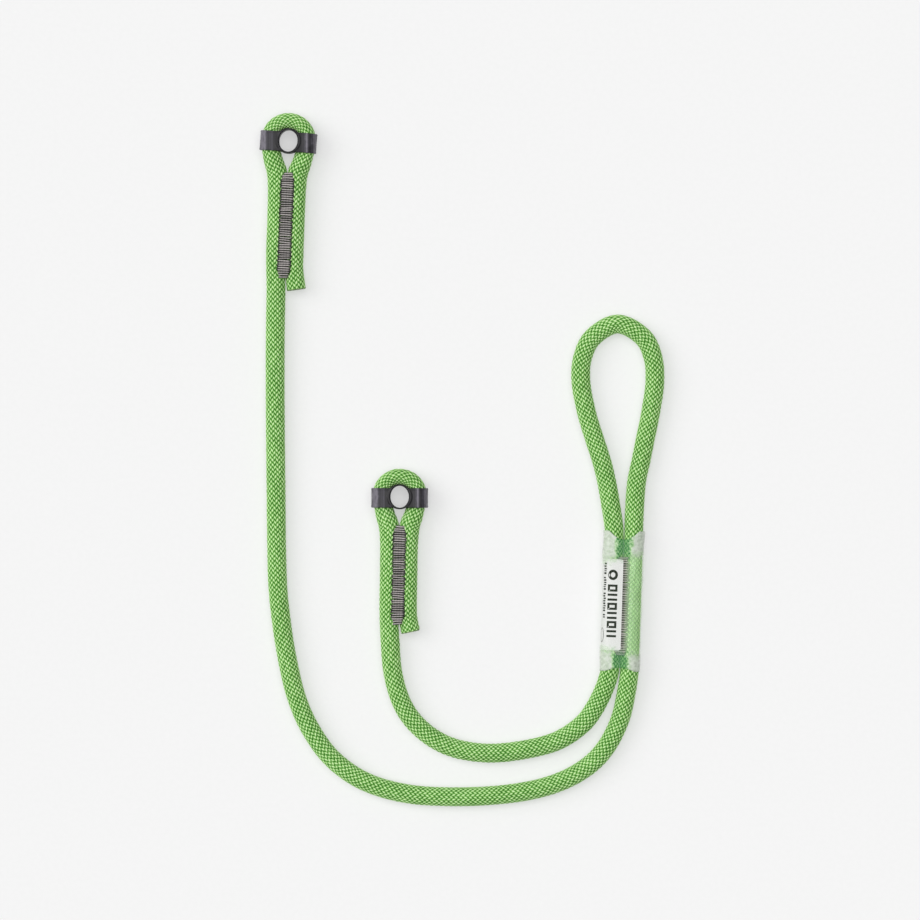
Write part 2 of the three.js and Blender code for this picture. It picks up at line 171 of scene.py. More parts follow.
LABEL_LENGTH = 49.2 * MM
LABEL_HEAD = 15.1 * MM  # below the sleeve's head
LABEL_RIGHT = 0.1 * MM  # its right edge, past the sleeve's axis
LABEL_CORNER = 1.3 * MM
LABEL_THICKNESS = 0.10 * MM
LABEL_RADIUS = SLEEVED[1] + CREST + 0.05 * MM
LABEL_WIDTH = 17.0 * MM
LABEL_DROOP = (0.12 * MM, 1.6 * MM)  # how far it sags between the legs, and over what half width
LABEL_GRID = (96, 44)

# the print, in mm from the label's right edge and below its head
INK_THICKNESS = 0.04 * MM
RING_MARK = ((5.3, 8.6), (2.6, 2.8), (1.2, 1.4))  # centre, outer and inner half sizes
OVAL_MARK = ((11.3, 41.0), (1.6, 3.9), (1.3, 3.6))
BOLD_ROW = (2.7, 7.9)  # the row's two sides
BOLD_HEAD = 13.8
BOLD_BLOCK = 3.8
BOLD_GAP = 1.1
BOLD_STROKE = 1.2
BOLD_COUNT = 6
FINE_ROW = (8.9, 10.6)
FINE_HEAD = 2.2
FINE_WORDS = (5, 6, 8, 2)  # strokes in each word
FINE_GAPS = (0.5, 1.0)  # after a stroke, and after a word as well

FLOOR_HALF_SIZE = 4.0
FLOOR_LEVEL = -0.1 * MM

# ---------- the rope's route

# from a sewn eye's seam's head: x to the right, y along the eye, for the right-hand leg
EYE_LEG = [
    (0.0090, 0.0114, 0.0075),
    (0.0073, 0.0054, 0.0075),
    (0.0053, -0.0002, 0.00738),
    (0.0049, -0.0096, 0.00714),
    (0.00475, -0.0276, 0.00667),
    (0.00475, -0.0446, 0.00622),
]
EYE_LEG_SECTIONS = [LEAVING, SPREAD, GATHERED, SEWN, SEWN, SEWN]
EYE_TAIL_SPLAY = (0.0050, 0.0068)  # just before the seam's foot, and at the cut end
EYE_TAIL_BEND = 0.004  # how far before the seam's foot that is
EYE_TAIL_LEVEL = 0.0059

# points of the rope's middle; those without a height lie on the table
LONG_ARM_UPPER = [
    (-0.1001, 0.0912, 0.00565), (-0.1005, 0.066, 0.0054), (-0.1005, 0.025), (-0.1001, -0.015),
    (-0.0998, -0.045),
]
LONG_ARM_LOWER = [
    (-0.099, -0.07), (-0.0966, -0.0915), (-0.0934, -0.1103), (-0.0886, -0.1292),
    (-0.0813, -0.1453), (-0.07, -0.1606), (-0.0539, -0.1722), (-0.0324, -0.1791),
    (-0.0055, -0.1812), (0.0267, -0.1794), (0.0483, -0.1747), (0.0648, -0.1667),
    (0.0759, -0.1564), (0.0846, -0.1402), (0.0884, -0.1239, 0.0059),
]
TETHER_LOOP = [
    (0.0927, -0.024, 0.0058), (0.0939, -0.0109), (0.0962, 0.0), (0.0986, 0.012), (0.1012, 0.025),
    (0.1035, 0.042), (0.1026, 0.0545), (0.0975, 0.0655), (0.0834, 0.0729), (0.0698, 0.0653),
    (0.0646, 0.0545), (0.0638, 0.042), (0.0669, 0.025), (0.0708, 0.012), (0.0747, 0.0),
    (0.0774, -0.0109), (0.0797, -0.024, 0.0058),
]
SHORT_ARM = [
    (0.0769, -0.1216, 0.0058), (0.0715, -0.1329), (0.0646, -0.1421), (0.0511, -0.1511),
    (0.0322, -0.1561), (0.013, -0.1577), (-0.0055, -0.1546), (-0.0192, -0.1472),
    (-0.0304, -0.1348), (-0.0367, -0.1175, 0.0054), (-0.0387, -0.099, 0.00565),
]

# where the rope is cut into stretches, in x and y
CUTS = [(-0.1006, 0.010), (-0.0962, -0.094), (0.0911, -0.076), (0.0803, -0.076), (0.0130, -0.1574)]

# name, the bodies it joins, where its bend starts and ends, and the runs it stands for
STRETCHES = [
    ("rope_long_eye", ("long_arm_upper", "long_eye"),
     (-0.1008, 0.041, 0), (-0.1008, 0.091, 0), ["long_eye"]),
    ("rope_long_arm_upper", ("long_arm_lower", "long_arm_upper"),
     (-0.0998, -0.087, 0), (-0.0998, -0.003, 0), ["long_arm_upper"]),
    ("rope_long_arm_lower", ("centre", "long_arm_lower"),
     (0.0993, -0.1326, 0), (0.0687, -0.1472, 0), ["long_arm_lower", "centre_right"]),
    ("rope_tether_loop", ("centre", "tether_loop"),
     (0.0857, -0.036, 0), (0.0857, 0.014, 0), ["tether_loop"]),
    ("rope_short_arm", ("centre", "short_arm"),
     (0.0845, -0.1206, 0), (0.0575, -0.1444, 0), ["short_arm", "centre_left"]),
    ("rope_short_eye", ("short_arm", "short_eye"),
     (-0.0295, -0.1403, 0), (-0.0424, -0.0994, 0), ["short_eye"]),
]


def smooth(value):
    """A smooth step from 0 to 1."""
    value = np.clip(value, 0, 1)
    return value * value * (3 - 2 * value)


def on_eye(eye, points):
    """Points given from an eye's ring, x to its right and y along it, in the frame."""
    points = np.asarray(points, float)
    c, s = math.cos(eye["lean"]), math.sin(eye["lean"])
    x, y = points[..., 0], points[..., 1]
    placed = points.copy()
    placed[..., 0] = eye["centre"][0] + x * c + y * s
    placed[..., 1] = eye["centre"][1] + y * c - x * s
    return placed


def eye_route(eye):
    """From the cut end up the right leg, round the crown and down the left leg, with sections."""
    seam_foot = eye["seam_head"] + eye["seam"]
    before_foot, cut_end = EYE_TAIL_SPLAY
    tail = [
        (cut_end, -eye["tail"], EYE_TAIL_LEVEL),
        (before_foot, EYE_TAIL_BEND - seam_foot, EYE_TAIL_LEVEL),
    ]
    right_leg = [(x, y - eye["seam_head"], z) for x, y, z in EYE_LEG]
    left_leg = [(-x, y, z) for x, y, z in right_leg]
    crown = []
    for degrees in range(0, 181, 30):
        angle = math.radians(degrees)
        crown.append((CROWN_RADIUS * math.cos(angle), CROWN_RADIUS * math.sin(angle), EYE_LEVEL))
    sections = [FREE, SEWN, *EYE_LEG_SECTIONS[::-1], *[CROWN] * len(crown), *EYE_LEG_SECTIONS]
    return on_eye(eye, tail + right_leg[::-1] + crown + left_leg), sections


def beside_sleeve(offset, below_head, level=SLEEVE_LEVEL):
    """A point at that offset to the right of the sleeve's axis, that far below its head."""
    axis = SLEEVE_HEAD - SLEEVE_FOOT
    axis = axis / np.linalg.norm(axis)
    x = SLEEVE_HEAD[0] - axis[0] * below_head + axis[1] * offset
    y = SLEEVE_HEAD[1] - axis[1] * below_head - axis[0] * offset
    return x, y, level


def lying(points):
    """Route points with the rope's own radius as the height of those that have none."""
    return [point if len(point) == 3 else (*point, ROPE_RADIUS) for point in points]


def whole_route():
    """Every route point with its section, from the long eye's cut end to the short eye's."""
    depths = [0, SLEEVE_MOUTH_DEPTH, SLEEVE_LENGTH - SLEEVE_MOUTH_DEPTH, SLEEVE_LENGTH]
    in_sleeve = [SLEEVE_MOUTH, SLEEVED, SLEEVED, SLEEVE_MOUTH]
    right = [beside_sleeve(LEG_OFFSET, depth) for depth in reversed(depths)]
    left = [beside_sleeve(-LEG_OFFSET, depth) for depth in depths]
    long_points, long_sections = eye_route(LONG_EYE)
    short_points, short_sections = eye_route(SHORT_EYE)
    swapped = [(b, a, up) for a, b, up in short_sections[::-1]]
    long_arm = LONG_ARM_UPPER + LONG_ARM_LOWER
    parts = [
        (long_points, long_sections),
        (lying(long_arm), [FREE] * len(long_arm)),
        (right, in_sleeve),
        (lying(TETHER_LOOP), [FREE] * len(TETHER_LOOP)),
        (left, in_sleeve),
        (lying(SHORT_ARM), [FREE] * len(SHORT_ARM)),
        (short_points[::-1], swapped),
    ]
    points = np.concatenate([np.asarray(p, float) for p, _ in parts])
    sections = np.concatenate([np.asarray(s, float) for _, s in parts])
    return points, sections


def centripetal_spline(points, steps):
    """Points along a centripetal Catmull-Rom curve through the given ones, steps to each span."""
    before = 2 * points[0] - points[1]
    after = 2 * points[-1] - points[-2]
    p = np.vstack([before, points, after])
    gaps = np.linalg.norm(np.diff(p, axis=0), axis=1) ** 0.5
    t = (np.arange(steps) / steps)[:, None]
    curve = []
    for k in range(1, len(p) - 2):
        p0, p1, p2, p3 = p[k - 1 : k + 3]
        d0, d1, d2 = gaps[k - 1 : k + 2]
        m1 = d1 * ((p1 - p0) / d0 - (p2 - p0) / (d0 + d1) + (p2 - p1) / d1)
        m2 = d1 * ((p2 - p1) / d1 - (p3 - p1) / (d1 + d2) + (p3 - p2) / d2)
        square = 3 * (p2 - p1) - 2 * m1 - m2
        cube = 2 * (p1 - p2) + m1 + m2
        curve.append(p1 + m1 * t + square * t**2 + cube * t**3)
    curve.append(points[-1:])
    return np.concatenate(curve)


def unit(vectors):
    """The same directions, each with a length of 1."""
    return vectors / np.linalg.norm(vectors, axis=-1)[..., None]


def right_and_up(tangent):
    """Unit vectors to the right of a line and up from it."""
    right = unit(np.cross(tangent, (0, 0, 1)))
    return right, np.cross(right, tangent)


def distances(points):
    """How far along a line each of its points is."""
    return np.concatenate([[0], np.cumsum(np.linalg.norm(np.diff(points, axis=0), axis=1))])


class Rope:
    """The whole rope's centreline, with its section sizes, by distance from the long eye's cut end."""

    SPAN_STEPS = 60

    def __init__(self):
        points, sections = whole_route()
        curve = centripetal_spline(points, self.SPAN_STEPS)
        self.travelled = distances(curve)
        self.curve = curve
        self.length = float(self.travelled[-1])
        self.knots = self.travelled[:: self.SPAN_STEPS]
        self.sections = sections

    def at(self, distance):
        return self._read(self.travelled, self.curve, distance)

    def tangent(self, distance):
        reach = 0.4 * MM
        low = np.clip(distance - reach, 0, self.length)
        high = np.clip(distance + reach, 0, self.length)
        return unit(self.at(high) - self.at(low))

    def section(self, distance):
        return self._read(self.knots, self.sections, distance)

    def nearest(self, x, y, after):
        """The distance along the rope that comes nearest to a place, looking only past `after`."""
        away = np.hypot(self.curve[:, 0] - x, self.curve[:, 1] - y)
        away[self.travelled < after] = np.inf
        return float(self.travelled[away.argmin()])

    @staticmethod
    def _read(known, values, distance):
        columns = [np.interp(distance, known, values[:, k]) for k in range(3)]
        return np.stack(columns, axis=1)


rope = Rope()
RING_GAP = PICK / (2 * STEPS_PER_STRAND)
LAST_RING = round(rope.length / RING_GAP)
RING_GAP = rope.length / LAST_RING

# ---------- camera


def make_camera():
    """Straight above the part, far enough off to see it almost without perspective."""
    data = bpy.data.cameras.new("camera")
    data.lens = LENS
    data.sensor_width = SENSOR
    camera = bpy.data.objects.new("camera", data)
    height = VIEW_WIDTH * LENS / SENSOR + ROPE_RADIUS
    camera.location = (*VIEW_CENTRE, height)
    bpy.context.scene.collection.objects.link(camera)
    bpy.context.scene.camera = camera


make_camera()

# ---------- meshes


def mesh_piece(name, vertices, faces, materials, uv=None, face_material=None):
    """A smooth mesh object. uv is one pair for each corner of each face, in order."""
    mesh = bpy.data.meshes.new(name)
    mesh.from_pydata([tuple(v) for v in vertices], [], [tuple(f) for f in faces])
    for material in materials:
        mesh.materials.append(material)
    mesh.polygons.foreach_set("use_smooth", np.ones(len(mesh.polygons), bool))
    if face_material is not None:
        mesh.polygons.foreach_set("material_index", np.asarray(face_material, np.int32))
    if uv is not None:
        layer = mesh.uv_layers.new(name="lay")
        layer.data.foreach_set("uv", np.asarray(uv, np.float32).ravel())
    mesh.update()
    piece = bpy.data.objects.new(name, mesh)
    bpy.context.scene.collection.objects.link(piece)
    return piece


def applied(piece):
    """Leaves a piece with the mesh that its modifiers make."""
    graph = bpy.context.evaluated_depsgraph_get()
    made = bpy.data.meshes.new_from_object(piece.evaluated_get(graph))
    piece.modifiers.clear()
    piece.data = made


def joined(parts):
    """Several sets of points, faces and UVs as one."""
    points, faces, uv = [], [], []
    total = 0
    for part_points, part_faces, part_uv in parts:
        points.append(part_points)
        faces += [[total + i for i in face] for face in part_faces]
        uv += list(part_uv)
        total += len(part_points)
    return np.concatenate(points), faces, uv


def grid_faces(rows, columns, closed=False):
    """Faces over a grid of points, numbered row by row. closed: each row's ends meet."""
    faces = []
    for i in range(rows - 1):
        low, high = i * columns, (i + 1) * columns
        for j in range(columns if closed else columns - 1):
            after = (j + 1) % columns
            faces.append([low + j, low + after, high + after, high + j])
    return faces


def thick_sheet(front, back, lay, closed=False):
    """Points, faces and UVs of a sheet between two grids of points. closed: it is a tube."""
    rows, columns = lay.shape[:2]
    count = rows * columns
    faces = []
    for face in grid_faces(rows, columns, closed):
        faces.append(face)
        faces.append([count + i for i in reversed(face)])
    number = np.arange(count).reshape(rows, columns)
    edges = [number[0], number[-1, ::-1]]
    if not closed:
        around = [number[0, :-1], number[:-1, -1], number[-1, :0:-1], number[:0:-1, 0]]
        edges = [np.concatenate(around)[::-1]]
    for edge in edges:
        for a, b in zip(edge.tolist(), np.roll(edge, -1).tolist()):
            faces.append([b, a, count + a, count + b])
    points = np.concatenate([front.reshape(-1, 3), back.reshape(-1, 3)])
    uv = lay.reshape(-1, 2)[np.array(faces) % count]
    return points, faces, uv.reshape(-1, 2)


def between(pair, share):
    """What lies at that share of the way from the first of a pair to the second."""
    return pair[0] + (pair[1] - pair[0]) * share


# ---------- the woven sheath


def strand_heights(u, v):
    """How high the sheath stands at (u, v), where whole numbers of u and v part the strands."""
    generator = np.random.default_rng(7)
    tightness = generator.uniform(-0.05, 0.05, (2, STRANDS)) * MM
    heights = []
    for own, way, other, sign in zip(tightness, (v, u), (u, v), (1, -1)):
        strand = np.floor(way)
        dome = 1 - np.abs(2 * (way - strand - 0.5)) ** STRAND_DOME
        wave = sign * np.cos(np.pi / 2 * ((other + strand) % 4 - 1))
        tight = own[strand.astype(int) % STRANDS]
        heights.append(GROOVE * (dome - 1) + LIFT * (wave - 1) + tight)
    return np.maximum(*heights)


def sheath_rings(first, last, slants):
    """The sheath's mesh points, ring by ring. Every second ring is turned by half a step."""
    rings = np.arange(first, last + 1)
    columns = STRANDS * STEPS_PER_STRAND
    distance = rings * RING_GAP
    centre, tangent, section = rope.at(distance), rope.tangent(distance), rope.section(distance)
    side, up = right_and_up(tangent)
    turn = (np.arange(columns)[None, :] + (rings % 2)[:, None] / 2) / STEPS_PER_STRAND
    along = rings[:, None] / (2 * STEPS_PER_STRAND)
    height = strand_heights(turn + along, turn - along) + CREST
    angle = 2 * np.pi * turn / STRANDS + twist(distance)[:, None]
    across, rise = np.sin(angle), np.cos(angle)
    to_left, to_right, tall = (section[:, k, None] for k in range(3))
    width = np.where(across > 0, to_right, to_left)
    sideways = (width + height) * across
    lean = np.zeros_like(sideways)
    for end, slant in slants:
        near = smooth(1 - np.abs(distance - end) / CUT_SLANT_REACH)[:, None]
        lean += near * slant * sideways / ROPE_RADIUS
    points = centre[:, None] + side[:, None] * sideways[..., None]
    points = points + up[:, None] * ((tall + height) * rise)[..., None]
    points = points + tangent[:, None] * lean[..., None]
    return points, turn, np.broadcast_to(along, turn.shape)


def twist(distance):
    """The sheath's slow turn about the rope, in radians."""
    sway, pace, start = SHEATH_SWAY
    return sway * np.sin(pace * distance + start) + SHEATH_TURN * distance


def sheath_faces(count, columns, first):
    """Diamonds that run with the strands, closed by triangles along the first and last rings."""
    column = np.arange(columns)
    after = (column + 1) % columns
    before = (column - 1) % columns
    turned = [(first + ring) % 2 == 1 for ring in range(count)]
    diamonds = []
    for ring in range(count - 2):
        right, left = (after, column) if turned[ring] else (column, before)
        low, middle, high = (k * columns for k in (ring, ring + 1, ring + 2))
        corners = [low + column, middle + right, high + column, middle + left]
        diamonds.append(np.stack(corners, axis=1))
    peak = after if turned[0] else column
    foot = np.stack([column, after, columns + peak], axis=1)
    low, high = (count - 2) * columns, (count - 1) * columns
    peak = column if turned[count - 2] else after
    head = np.stack([low + peak, high + after, high + column], axis=1)
    return np.concatenate(diamonds), np.concatenate([foot, head])


def end_cap(rim, outward, fused):
    """Points inside a sheath's last ring and the faces that close it, numbered from the ring's 0."""
    columns = len(rim)
    middle = rim.mean(axis=0)
    even = 0.5 * (rim + np.roll(rim, 1, axis=0))
    generator = np.random.default_rng(11)
    rings = []
    for share, reach in FUSED_RINGS if fused else []:
        rough = generator.uniform(-0.05, 0.05, columns)[:, None] * MM
        rings.append(middle + (even - middle) * share + outward * (reach * MM + rough))
    rings.append((middle + outward * (FUSED_MIDDLE if fused else 0))[None])
    faces = grid_faces(len(rings), columns, closed=True)
    low = (len(rings) - 1) * columns
    faces += [[low + i, low + (i + 1) % columns, low + columns] for i in range(columns)]
    return np.concatenate(rings), faces


def rope_piece(name, first, last, fused_start, fused_end, slant):
    """The stretch of the rope from ring first to ring last, closed at both ends."""
    ends = [(first, fused_start, -1), (last, fused_end, 1)]
    slants = [(ring * RING_GAP, slant) for ring, fused, _ in ends if fused]
    rings, turn, along = sheath_rings(first, last, slants)
    count, columns = turn.shape
    diamonds, edge = sheath_faces(count, columns, first)
    lay = np.stack([turn.ravel(), along.ravel()], axis=1)
    points = [rings.reshape(-1, 3)]
    faces = diamonds.tolist() + edge.tolist()
    uv = [wrapped(lay[diamonds]), wrapped(lay[edge])]
    face_material = [0] * len(faces)
    total = count * columns
    for ring, fused, way in ends:
        outward = way * rope.tangent(np.array([ring * RING_GAP]))[0]
        inside, cap = end_cap(rings[ring - first], outward, fused)
        start = (ring - first) * columns
        for face in cap:
            numbered = [start + i if i < columns else total + i - columns for i in face]
            faces.append(numbered[::way])
            uv.append(np.zeros((len(face), 2)))
            face_material.append(1)
        points.append(inside)
        total += len(inside)
    flat_uv = np.concatenate([part.reshape(-1, 2) for part in uv])
    piece = mesh_piece(name, np.concatenate(points), faces, [SHEATH, FUSED], flat_uv, face_material)
    line = rope.at(np.arange(first, last + 1, STEPS_PER_STRAND) * RING_GAP)
    return piece, line


def wrapped(corners):
    """Corner UVs, with those past the sheath's seam moved on by one whole turn."""
    turns = corners[..., 0]
    behind = turns.max(axis=1, keepdims=True) - turns > STRANDS / 2
    corners[..., 0] = turns + behind * STRANDS
    return corners


# ---------- materials


def arithmetic(operation):
    """A method that joins two values by that operation of the Math node."""

    def method(value, other):
        return value.shader.math(operation, value, other)

    return method


class Value:
    """What a shader node puts out, in a form that sums and products can be written with."""

    def __init__(self, shader, socket):
        self.shader = shader
        self.socket = socket

    __add__ = arithmetic("ADD")
    __sub__ = arithmetic("SUBTRACT")
    __mul__ = arithmetic("MULTIPLY")
    __mod__ = arithmetic("FLOORED_MODULO")
    __pow__ = arithmetic("POWER")

    def __abs__(self):
        return self.shader.math("ABSOLUTE", self)


class Shader:
    """A material under construction: its Principled shader and short ways to add nodes."""

    def __init__(self, name, **sockets):
        self.material = bpy.data.materials.new(name)
        self.material.use_nodes = True
        self.nodes = self.material.node_tree.nodes
        self.links = self.material.node_tree.links
        self.surface = self.nodes["Principled BSDF"]
        for socket, value in sockets.items():
            self.drive(socket.replace("_", " "), value)

    def join(self, socket, value):
        if isinstance(value, Value):
            self.links.new(value.socket, socket)
        else:
            socket.default_value = value

    def drive(self, socket, value):
        self.join(self.surface.inputs[socket], value)

    def output(self, kind, which=0, values=(), **settings):
        """One output of a new node, whose inputs get the (socket, value) pairs in values."""
        node = self.nodes.new("ShaderNode" + kind)
        for setting, value in settings.items():
            setattr(node, setting, value)
        for socket, value in values:
            self.join(node.inputs[socket], value)
        return Value(self, node.outputs[which])

    def math(self, operation, *values):
        return self.output("Math", values=enumerate(values), operation=operation)

    def spread(self, value, low, high, to_low=0.0, to_high=1.0):
        """value taken smoothly from low..high to to_low..to_high."""
        values = enumerate((value, low, high, to_low, to_high))
        return self.output("MapRange", values=values, interpolation_type="SMOOTHSTEP")

    def vector(self, x, y):
        return self.output("CombineXYZ", values=enumerate((x, y)))

    def parts(self, vector):
        """The x and y of a vector."""
        return [self.output("SeparateXYZ", k, [(0, vector)]) for k in (0, 1)]

    def lay(self):
        """The two numbers of the piece's own UV layer."""
        return self.parts(self.output("UVMap", uv_map="lay"))

    def place(self):
        """Where the surface is in the frame, in metres."""
        return self.output("NewGeometry", "Position")

    def noise(self, vector, scale, detail=2.0):
        values = [("Vector", vector), ("Scale", scale), ("Detail", detail)]
        return self.output("TexNoise", "Fac", values)

    def random(self, number):
        return self.output("TexWhiteNoise", "Value", [("W", number)], noise_dimensions="1D")

    def paint(self, value, stops):
        """The surface's colour, read at value from (place, 0-255 colour) stops."""
        ramp = self.output("ValToRGB", values=[(0, value)])
        elements = ramp.socket.node.color_ramp.elements
        while len(elements) < len(stops):
            elements.new(0.5)
        for element, (place, shades) in zip(elements, stops):
            element.position = place
            element.color = colour(*shades)
        self.drive("Base Color", ramp)

    def bump(self, height, distance, strength):
        values = [("Strength", strength), ("Distance", distance), ("Height", height)]
        self.drive("Normal", self.output("Bump", values=values))


def colour(red, green, blue):
    """A linear colour from 0-255 display values."""
    channels = []
    for value in (red, green, blue):
        share = value / 255
        channels.append(share / 12.92 if share <= 0.04045 else ((share + 0.055) / 1.055) ** 2.4)
    return (*channels, 1.0)


def strands_one_way(shader, way, other, sign):
    """How high the strands of one way stand, the twist of their yarn, and each one's own tone."""
    strand = shader.math("FLOOR", way)
    across = way - strand - 0.5
    place = (other + strand) % 4.0
    dome = abs(across * 2.0) ** STRAND_DOME
    wave = shader.math("COSINE", (place - 1.0) * (math.pi / 2)) * (0.75 * sign)
    ply = shader.math("SINE", across * 20.0 + place * 9.0)
    tone = shader.random(strand % float(STRANDS) + (40.5 * sign + 0.5))
    return wave - dome, ply, tone


def sheath_material():
    """Woven polyamide: two ways of strands, with painted highlight on their crests and painted shade
    where they dive.
    """
    shader = Shader("woven_sheath", Roughness=0.62, Specular_IOR_Level=0.25, Sheen_Weight=0.25)
    shader.drive("Sheen Tint", colour(200, 236, 170))
    turn, along = shader.lay()
    u, v = turn + along, turn - along
    right = strands_one_way(shader, v, u, 1)
    left = strands_one_way(shader, u, v, -1)
    on_top = shader.math("GREATER_THAN", right[0], left[0])
    height, ply, tone = (on_top * (a - b) + b for a, b in zip(right, left))
    # painted light and shade: each visible length of strand is painted lightest at its middle, as
    # sheen, and painted dark in the pits between them
    columns = shader.math("COSINE", (turn - 0.75) * math.pi)
    rows = shader.math("COSINE", (along - 0.25) * (2 * math.pi))
    float_sheen_and_pit_shade = columns * rows
    wear = shader.noise(shader.vector(turn, along), 0.35, 3.0)
    fibre = shader.noise(shader.vector(u, v), 9.0)
    # painted shade and highlight: the strands' height and the pits darken the dives and light the
    # crests; ply, fibre, tone and wear are the yarn's own tones
    level = height * 0.42 + float_sheen_and_pit_shade * 0.23 + ply * 0.04 + fibre * 0.2 + tone * 0.14 + wear * 0.2
    stops = [
        (0.0, (10, 58, 4)),
        (0.30, (42, 106, 20)),
        (0.55, (98, 162, 64)),
        (0.80, (160, 212, 122)),
        (1.0, (212, 242, 182)),
    ]
    shader.paint(shader.spread(level, -0.45, 0.88), stops)
    shader.bump(height + ply * 0.18 + fibre * 0.25, 0.16 * MM, 0.6)
    return shader.material


def fused_material():
    """A cut end whose sheath and core were melted together."""
    shader = Shader("fused_end", Roughness=0.32)
    patches = shader.noise(shader.place(), 900.0, 3.0)
    shader.paint(patches, [(0.35, (58, 100, 36)), (0.65, (150, 176, 120))])
    shader.bump(patches, 0.2 * MM, 0.5)
    return shader.material


def thread_material():
    """Sewing thread: u counts the bars and the turn round each, v is mm along from its middle."""
    shader = Shader("sewing_thread", Roughness=0.6, Specular_IOR_Level=0.3)
    around, along = shader.lay()
    turned = around * (2 * math.pi)
    # painted highlight and shade: each bar is painted light on its top and dark down its sides, and
    # darker towards its ends where it sinks between the legs
    painted_top_light = shader.spread(shader.math("COSINE", turned), 0.6, 1.0)
    ply = shader.math("SINE", along * 4.2 + turned)
    fuzz = shader.noise(shader.vector(around * 5.0, along), 1.4, 3.0)
    bar = shader.random(shader.math("FLOOR", around) + 0.5)
    painted_end_shade = shader.spread(abs(along), THREAD_SHADE_START, THREAD_SHADE_DARKEST, 1.0, 0.2)
    level = (painted_top_light * 0.55 + ply * 0.04 + fuzz * 0.3 + bar * 0.18) * painted_end_shade
    shader.paint(level, [(0.1, (18, 16, 16)), (0.5, (72, 70, 69)), (0.95, (186, 180, 177))])
    shader.bump(ply, 0.05 * MM, 0.5)
    return shader.material


def rubber_material():
    """Moulded black rubber, with painted highlights in lighter grey streaks towards the band's two
    ends.
    """
    shader = Shader("moulded_rubber", Specular_IOR_Level=0.3)
    place = shader.place()
    along_band, _ = shader.parts(shader.output("TexCoord", "Generated"))
    # painted highlight: lighter grey streaks over the band's curved ends, dark black towards the ring
    streaks = shader.noise(shader.vector(along_band * 15.0, 0.5), 1.0, 3.0)
    clouds = shader.noise(place, 260.0, 3.0)
    painted_end_highlight = abs(along_band - 0.5) + (streaks - 0.5) * 0.8 + (clouds - 0.5) * 0.2
    stops = [
        (0.0, (24, 23, 26)),
        (0.5, (62, 60, 67)),
        (0.85, (119, 115, 124)),
        (1.0, (90, 87, 95)),
    ]
    shader.paint(shader.spread(painted_end_highlight, 0.18, 0.5), stops)
    shader.drive("Roughness", shader.spread(clouds, 0.3, 0.7, 0.38, 0.55))
    shader.bump(shader.noise(place, 2600.0, 3.0), 0.05 * MM, 0.35)
    return shader.material


def sleeve_material():
    """Clear film, milky at both ends outside the middle: u is across and v below its head, in mm."""
    shader = Shader("clear_film", Roughness=0.16, IOR=1.46)
    across, below = shader.lay()
    patches = shader.noise(shader.vector(across, below), 0.5, 5.0)
    ragged = patches - 0.5
    above_foot = shader.math("SUBTRACT", SLEEVE_LENGTH / MM, below)
    ends = []
    for depth, reach in zip((below, above_foot), FROST_REACH):
        uneven = depth + ragged * 9.0 + across * FROST_SLANT
        ends.append(shader.spread(uneven, reach - 4.0, reach + 2.0, 1.0, 0.0))
    near_end = shader.math("MAXIMUM", *ends)
    side = abs(across) + shader.math("MINIMUM", below, above_foot) * FROST_TAPER + ragged * 7.0
    frost = near_end * shader.spread(side, FROST_INNER - 1.4, FROST_INNER + 1.6)
    # painted shade: near the ends, between the milky patches, the film is tinted dark green over the
    # legs and the gap between them
    painted_middle_shade = near_end - frost  # to the rope, in the middle
    streaks = shader.noise(shader.vector(across, below * 0.12), 1.1, 3.0)
    # the first, darkest stop is the painted shade's green
    stops = [(0.0, (48, 150, 84)), (0.5, (206, 246, 188)), (1.0, (232, 238, 228))]
    shader.paint((frost - painted_middle_shade) * 0.5 + 0.5, stops)
    shader.drive("Roughness", shader.spread(frost, 0.0, 1.0, 0.14, 0.5))
    veil = frost * shader.spread(patches, 0.35, 0.65, 0.35, 0.57) + painted_middle_shade * 0.22
    haze = shader.spread(across, *HAZE) * shader.spread(across, *HAZE_EDGE, 1.0, 0.4)
    haze = haze * shader.spread(streaks, 0.3, 0.7, 0.22, 0.34)
    shader.drive("Alpha", shader.math("MAXIMUM", veil, haze) + 0.015)
    shader.bump(streaks, 0.2 * MM, 0.15)
    return shader.material


def paper_material():
    """The label's coated paper."""
    shader = Shader("label_paper", Roughness=0.5)
    pulp = shader.noise(shader.vector(*shader.lay()), 1.6, 4.0)
    shader.paint(pulp, [(0.3, (214, 214, 213)), (0.7, (222, 222, 221))])
    return shader.material


def ink_material():
    """Printed black, worn a little thin in places."""
    shader = Shader("label_ink", Roughness=0.6, Specular_IOR_Level=0.1)
    wear = shader.noise(shader.place(), 1400.0, 3.0)
    shader.paint(wear, [(0.3, (12, 12, 12)), (0.8, (34, 34, 34))])
    return shader.material


def floor_material():
    """A sheet lit from behind as well as from above, so that shadows on it stay pale."""
    shader = Shader("pale_floor", Roughness=0.9, Specular_IOR_Level=0.0)
    shader.drive("Emission Color", (1.0, 1.0, 1.0, 1.0))
    shader.drive("Emission Strength", 0.46)
    grain = shader.noise(shader.place(), 400.0)
    shader.paint(grain, [(0.3, (173, 173, 173)), (0.7, (175, 175, 175))])
    return shader.material


SHEATH = sheath_material()
FUSED = fused_material()
THREAD = thread_material()
RUBBER = rubber_material()

# ---------- the rope's pieces


def make_rope():
    """Six stretches, cut where the rope lies straight."""
    cuts = [0]
    for x, y in CUTS:
        cut = rope.nearest(x, y, after=cuts[-1] * RING_GAP)
        cuts.append(round(cut / RING_GAP))
    cuts.append(LAST_RING)
    for stretch, first, last in zip(STRETCHES, cuts, cuts[1:]):
        name, bodies, start, end, runs = stretch
        at_start, at_end = first == 0, last == LAST_RING
        slant = (LONG_EYE if at_start else SHORT_EYE)["slant"]
        piece, line = rope_piece(name, first, last, at_start, at_end, slant)
        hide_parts(*[f"{run}_{part}" for run in runs for part in ("sheath", "core")])
        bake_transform(piece)
        if at_start:
            line = line[::-1]


make_rope()

# ---------- sewing


